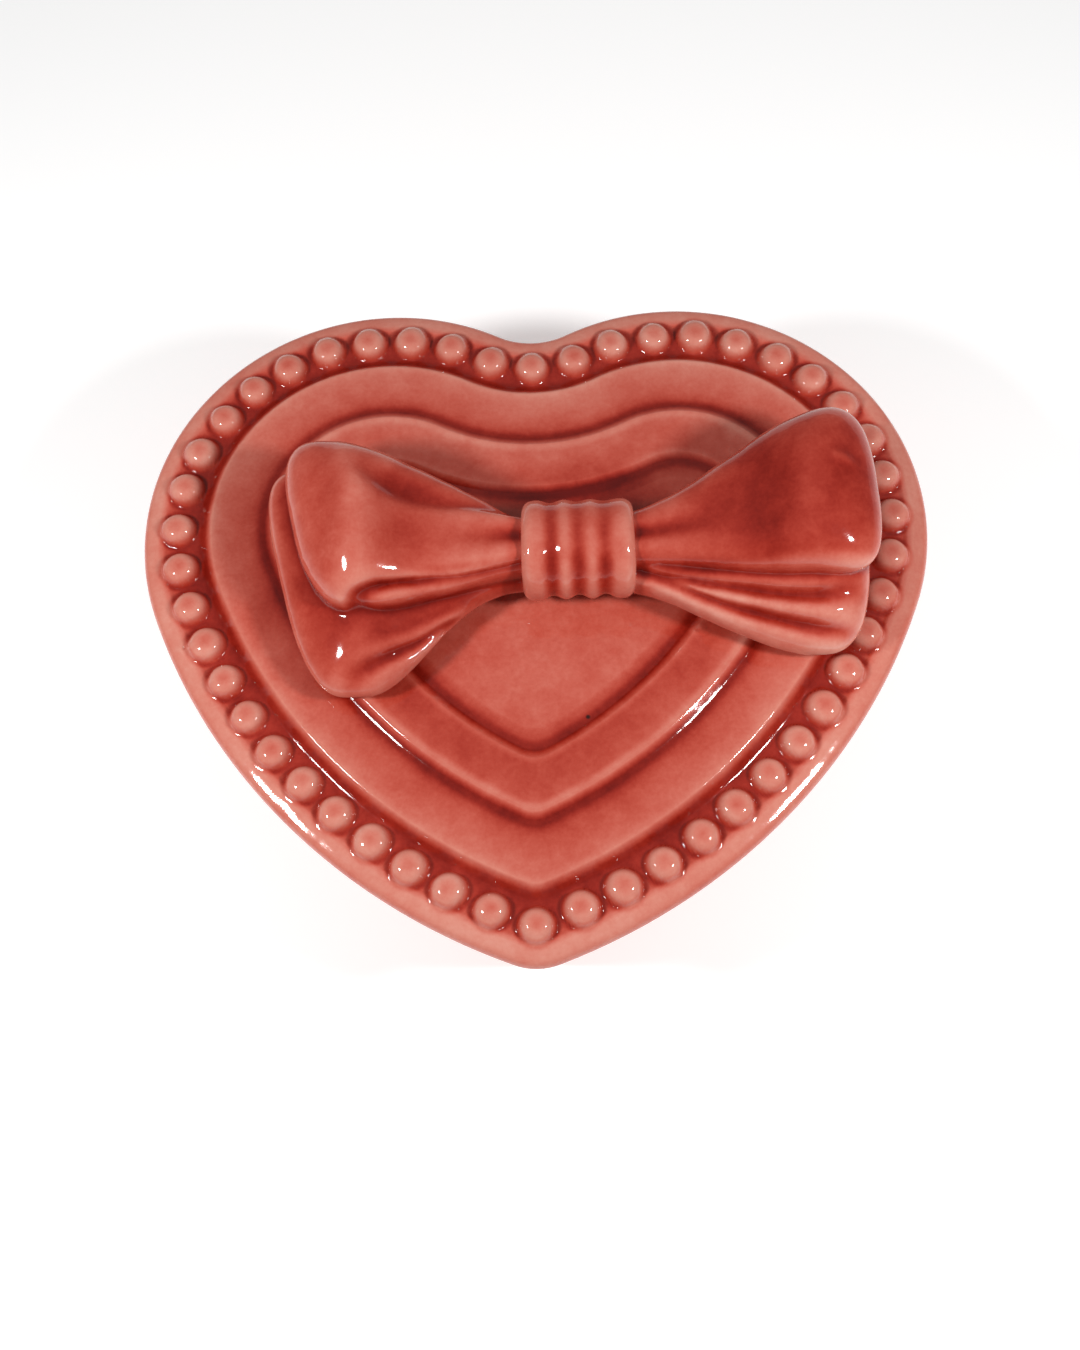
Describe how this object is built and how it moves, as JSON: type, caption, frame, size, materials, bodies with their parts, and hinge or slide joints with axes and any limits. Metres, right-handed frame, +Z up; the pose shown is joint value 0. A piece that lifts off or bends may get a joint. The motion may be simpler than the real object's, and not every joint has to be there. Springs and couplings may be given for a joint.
{
  "type": "trinket box",
  "caption": "Heart-shaped glazed ceramic trinket box: a tapered bowl and a lift-off lid with a beaded border, stepped hearts and a folded-ribbon bow as its knob.",
  "frame": {"origin": "on the surface the box stands on, under the middle of the lid's outline", "axes": "+X to the right across the two lobes of the heart, +Y from the heart's point towards its notch, +Z up, the way the lid lifts"},
  "size_m": [0.13, 0.114, 0.0587],
  "materials": {
    "bowl_glaze": "gloss",
    "lid_glaze": "gloss",
    "bow_glaze": "gloss"
  },
  "bodies": {
    "bowl": {"heart_bowl": "bowl_glaze"},
    "lid": {"heart_lid": "lid_glaze", "bow_loop_left": "bow_glaze", "bow_loop_right": "bow_glaze", "bow_knot_band": "bow_glaze"}
  },
  "joints": [
    {"name": "lid_lift", "type": "slide", "parent": "bowl", "child": "lid", "axis": [0, 0, 1], "range_m": [0, 0.06]}
  ]
}
